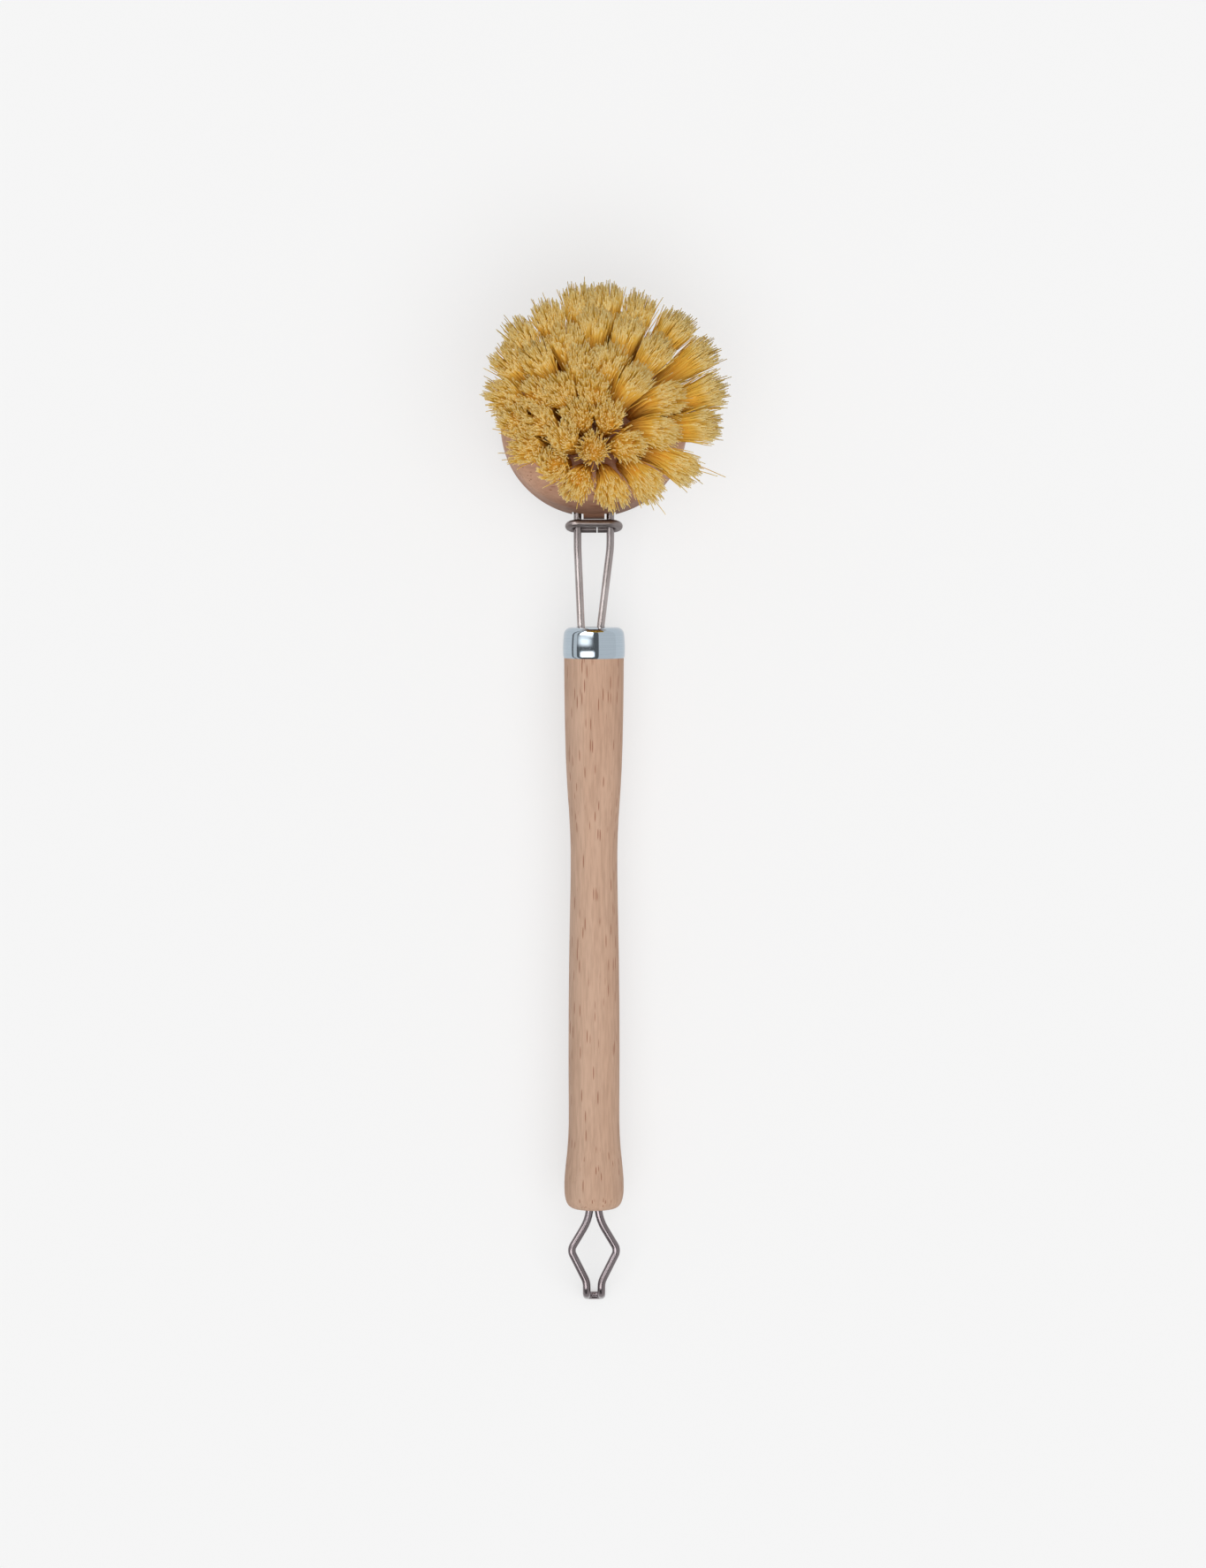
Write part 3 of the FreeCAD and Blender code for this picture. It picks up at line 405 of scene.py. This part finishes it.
def core_rings(path):
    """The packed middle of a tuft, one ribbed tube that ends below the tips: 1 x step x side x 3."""
    rim = circle_points(CORE_SIDES)
    rim[::2] *= CORE_GROOVE_SHARE
    sides = path.place(rim[:, None] * path.radius * CORE_SHARE)
    return (sides - CORE_DROP * path.steps * path.way).transpose(1, 0, 2)[None], rim @ across_axes(path.way)


def tuft_normals(path, rings, own_ways):
    """Normals between a fibre's own round and the round of the whole tuft, which light scatters over."""
    outward = (rings - path.points[:, None]) / path.radius[:, :, None]
    mixed = own_ways * OWN_ROUND_SHARE + outward * TUFT_ROUND_SHARE + path.way * TUFT_TIP_SHARE
    return mixed / np.linalg.norm(mixed, axis=-1, keepdims=True)


def add_tubes(mesh_parts, path, rings, own_ways, tones, reach_share=1):
    """Add closed tubes to a mesh's parts, with each point's normal, share along a fibre and tone."""
    tubes, steps, sides = rings.shape[:3]
    first = np.arange(tubes * steps * sides).reshape(tubes, steps, sides) + len(mesh_parts["vertices"])
    after = np.roll(first, -1, axis=2)
    walls = np.stack([first[:, :-1], after[:, :-1], after[:, 1:], first[:, 1:]], axis=-1).reshape(-1, 4)
    caps = np.concatenate([first[:, -1], first[:, 0, ::-1]])
    mesh_parts["vertices"] += rings.reshape(-1, 3).tolist()
    mesh_parts["normals"] += tuft_normals(path, rings, own_ways).reshape(-1, 3).tolist()
    mesh_parts["faces"] += walls.tolist() + caps.tolist()
    mesh_parts["along"] += np.broadcast_to(path.steps * reach_share, first.shape).ravel().tolist()
    mesh_parts["tone"] += np.broadcast_to(tones, first.shape).ravel().tolist()


def build_tuft(number, name, material):
    """A bundle of fibres that fills its hole, spreads towards its tips and stands for its plain solid."""
    chance = np.random.default_rng((SEED, number))
    path = TuftPath(chance, *tuft_ends(name))
    parts = {"vertices": [], "normals": [], "faces": [], "along": [], "tone": []}
    fibres = fibre_rings(fibre_lines(chance, path), path.way)
    add_tubes(parts, path, *fibres, chance.random((FIBRES_PER_TUFT, 1, 1)))
    add_tubes(parts, path, *core_rings(path), chance.random((1, 1, CORE_SIDES)), CORE_REACH_SHARE)
    piece_name = name.replace("tuft", "fibres")
    mesh = bpy.data.meshes.new(piece_name)
    mesh.from_pydata(parts["vertices"], [], parts["faces"])
    for layer in ("along", "tone"):
        mesh.attributes.new(layer, "FLOAT", "POINT").data.foreach_set("value", parts[layer])
    mesh.shade_smooth()
    mesh.normals_split_custom_set_from_vertices(parts["normals"])
    mesh.materials.append(material)
    piece = bpy.data.objects.new(piece_name, mesh)
    bpy.context.scene.collection.objects.link(piece)
    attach(piece, "head_body")
    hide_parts(name)


def finish_cad_pieces():
    """Give every piece of the frame that stays in view its finish."""
    finishes = {
        "handle": beech(
            "handle_beech",
            tones=(srgb(184, 146, 121), srgb(198, 163, 139), srgb(206, 173, 150)),
            fleck=srgb(150, 100, 76),
            stretch=(1.0, 0.08, 1.0),
            fleck_stretch=(1500.0, 110.0, 1500.0),
            tone_and_painted_shade=[(0.0, (0.97, 0.97, 0.97, 1)), (1.0, (1.03, 1.03, 1.04, 1))],
        ),
        "head_block": beech(
            "head_beech",
            tones=(srgb(152, 112, 90), srgb(168, 130, 108), srgb(182, 146, 124)),
            fleck=srgb(128, 84, 62),
            stretch=(0.08, 1.0, 1.0),
            fleck_stretch=(110.0, 1500.0, 1500.0),
            # Painted shade and light: the head's wood is painted darker towards the tongue, where the tufts
            # shade it, partly stain, and lighter towards the far rim.
            tone_and_painted_shade=[
                (0.0, (0.4, 0.33, 0.3, 1)),
                (0.06, (0.6, 0.54, 0.5, 1)),
                (0.16, (1.15, 1.12, 1.1, 1)),
                (0.3, (1.36, 1.36, 1.34, 1)),
            ],
        ),
        "ferrule": chrome("ferrule_chrome"),
        "wire_frame": steel(
            "wire_steel",
            dark=srgb(174, 163, 160),
            light=srgb(190, 181, 179),
            roughness=(0.2, 0.26),
            # Painted light: darker towards the hook end, a painted highlight at the ferrule, and painted
            # shade on the prongs at the ring and in the head.
            tone_and_painted_light=[
                (0.1, (0.54, 0.52, 0.56, 1)),
                (0.86, (1.18, 1.18, 1.18, 1)),
                (0.92, (1.03, 1.03, 1.04, 1)),
                (0.96, (0.76, 0.76, 0.78, 1)),
            ],
        ),
        "locking_ring": steel(
            "ring_steel",
            dark=srgb(136, 127, 125),
            light=srgb(154, 146, 144),
            roughness=(0.34, 0.42),
            # Painted shade: the ring is painted darker towards its hook side.
            tone_and_painted_light=[(0.0, (0.62, 0.6, 0.62, 1)), (0.6, (1.15, 1.14, 1.14, 1))],
        ),
        "tuft_anchors": steel(
            "anchor_steel",
            dark=srgb(150, 148, 146),
            light=srgb(186, 184, 182),
            roughness=(0.3, 0.5),
            tone_and_painted_light=[(0.0, (0.95, 0.95, 0.95, 1)), (1.0, (1, 1, 1, 1))],
        ),
    }
    for name, material in finishes.items():
        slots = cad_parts[name].data.materials
        slots.clear()
        slots.append(material)


def build_floor():
    """A pale floor under the brush."""
    mesh = bpy.data.meshes.new("floor")
    reach = FLOOR_HALF
    corners = [(-reach, -reach, 0), (reach, -reach, 0), (reach, reach, 0), (-reach, reach, 0)]
    mesh.from_pydata(corners, [], [(0, 1, 2, 3)])
    material, tree, shader = new_material("floor")
    pale = (FLOOR_GREY, FLOOR_GREY, FLOOR_GREY, 1)
    shader.inputs["Base Color"].default_value = pale
    shader.inputs["Roughness"].default_value = 1.0
    shader.inputs["Specular IOR Level"].default_value = 0.0
    seen, mirrored = seen_by(tree, "Camera", "Transmission"), seen_by(tree, "Glossy")
    ends = {"To Min": 1.0, "To Max": MIRRORED_FLOOR / FLOOR_GREY}
    level = node(tree, "MapRange", {"Value": mirrored, **ends})
    even = node(tree, "Emission", {"Color": pale, "Strength": level.outputs[0]})
    direct = node(tree, "Math", {0: seen, 1: FLOOR_EVEN_SHARE}, operation="MULTIPLY")
    share = node(tree, "Math", {0: direct.outputs[0], 1: mirrored}, operation="MAXIMUM")
    both = node(tree, "MixShader", {0: share.outputs[0], 1: shader.outputs[0], 2: even.outputs[0]})
    tree.links.new(both.outputs[0], tree.nodes["Material Output"].inputs["Surface"])
    mesh.materials.append(material)
    floor = bpy.data.objects.new("floor", mesh)
    bpy.context.scene.collection.objects.link(floor)


def window(tree, angles, edges, softness):
    """1 inside a window of directions and 0 outside it, with soft edges."""
    shown = 1.0
    for angle, limits, soft in zip(angles, edges, softness):
        for edge, side in zip(limits, (1, -1)):
            fade = {"Value": angle, "From Min": edge - side * soft / 2, "From Max": edge + side * soft / 2}
            step = node(tree, "MapRange", fade, interpolation_type="SMOOTHSTEP").outputs[0]
            shown = node(tree, "Math", {0: shown, 1: step}, operation="MULTIPLY").outputs[0]
    return shown


def mirrored_level(tree):
    """Brightness of what shiny metal mirrors: the pale room, with lamps and dark bars above the brush."""
    way = node(tree, "SeparateXYZ", {0: node(tree, "TexCoord").outputs["Generated"]})
    turn = node(tree, "Math", {0: way.outputs["X"], 1: way.outputs["Z"]}, operation="ARCTAN2")
    rise = node(tree, "Math", {0: way.outputs["Y"]}, operation="ARCSINE")
    angles = []
    for each in (turn, rise):
        angles.append(node(tree, "Math", {0: each.outputs[0]}, operation="DEGREES").outputs[0])
    level = MIRRORED_ROOM
    for across, along, shade, softness in MIRRORED_WINDOWS:
        shown = window(tree, angles, (across, along), softness)
        level = node(tree, "MapRange", {"Value": shown, "To Min": level, "To Max": shade}).outputs[0]
    return level


def build_light():
    """Even light from all round, one broad soft light from above, and what the metal mirrors."""
    world = bpy.data.worlds.new("studio")
    bpy.context.scene.world = world
    world.use_nodes = True
    tree = world.node_tree
    background = tree.nodes["Background"]
    background.inputs["Color"].default_value = (1, 1, 1, 1)
    seen, mirrored = seen_by(tree, "Camera", "Transmission"), seen_by(tree, "Glossy")
    plain = node(tree, "MapRange", {"Value": seen, "To Min": AMBIENT, "To Max": FLOOR_GREY}).outputs[0]
    level = node(tree, "MapRange", {"Value": mirrored, "To Min": plain, "To Max": mirrored_level(tree)})
    tree.links.new(level.outputs[0], background.inputs["Strength"])
    lamp = bpy.data.lights.new("key", "SUN")
    lamp.energy = KEY_STRENGTH
    lamp.angle = KEY_ANGLE
    key = bpy.data.objects.new("key", lamp)
    key.rotation_euler = KEY_WAY.to_track_quat("-Z", "Y").to_euler()
    key.visible_glossy = False
    bpy.context.scene.collection.objects.link(key)


def build_camera():
    """The photograph's camera, placed by where the handle lies in its frame."""
    low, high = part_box("handle")
    axis_x, axis_z, butt_y = (low.x + high.x) / 2, (low.z + high.z) / 2, low.y
    aim = Vector((
        axis_x + (IMAGE_WIDTH_PX / 2 - AXIS_X_PX) * PIXEL,
        butt_y + AIM_PLACE,
        axis_z,
    ))
    eye = Vector((aim.x, butt_y + CAMERA_PLACE, axis_z + CAMERA_HEIGHT))
    back = (eye - aim).normalized()
    right = Vector((1, 0, 0))
    up = back.cross(right)
    data = bpy.data.cameras.new("camera")
    data.angle = 2 * math.atan(IMAGE_HEIGHT_PX * PIXEL / 2 / (eye - aim).length)
    camera = bpy.data.objects.new("camera", data)
    camera.matrix_world = Matrix.Translation(eye) @ Matrix((right, up, back)).transposed().to_4x4()
    bpy.context.scene.collection.objects.link(camera)
    bpy.context.scene.camera = camera


def main():
    """Light and finish the frame's pieces, and grow the tufts."""
    bpy.context.scene.view_settings.view_transform = "Standard"
    build_camera()
    build_light()
    build_floor()
    finish_cad_pieces()
    fibre = plant_fibre("plant_fibre")
    tufts = sorted(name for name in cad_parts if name.startswith("tuft_") and name != "tuft_anchors")
    for number, name in enumerate(tufts):
        build_tuft(number, name, fibre)


main()
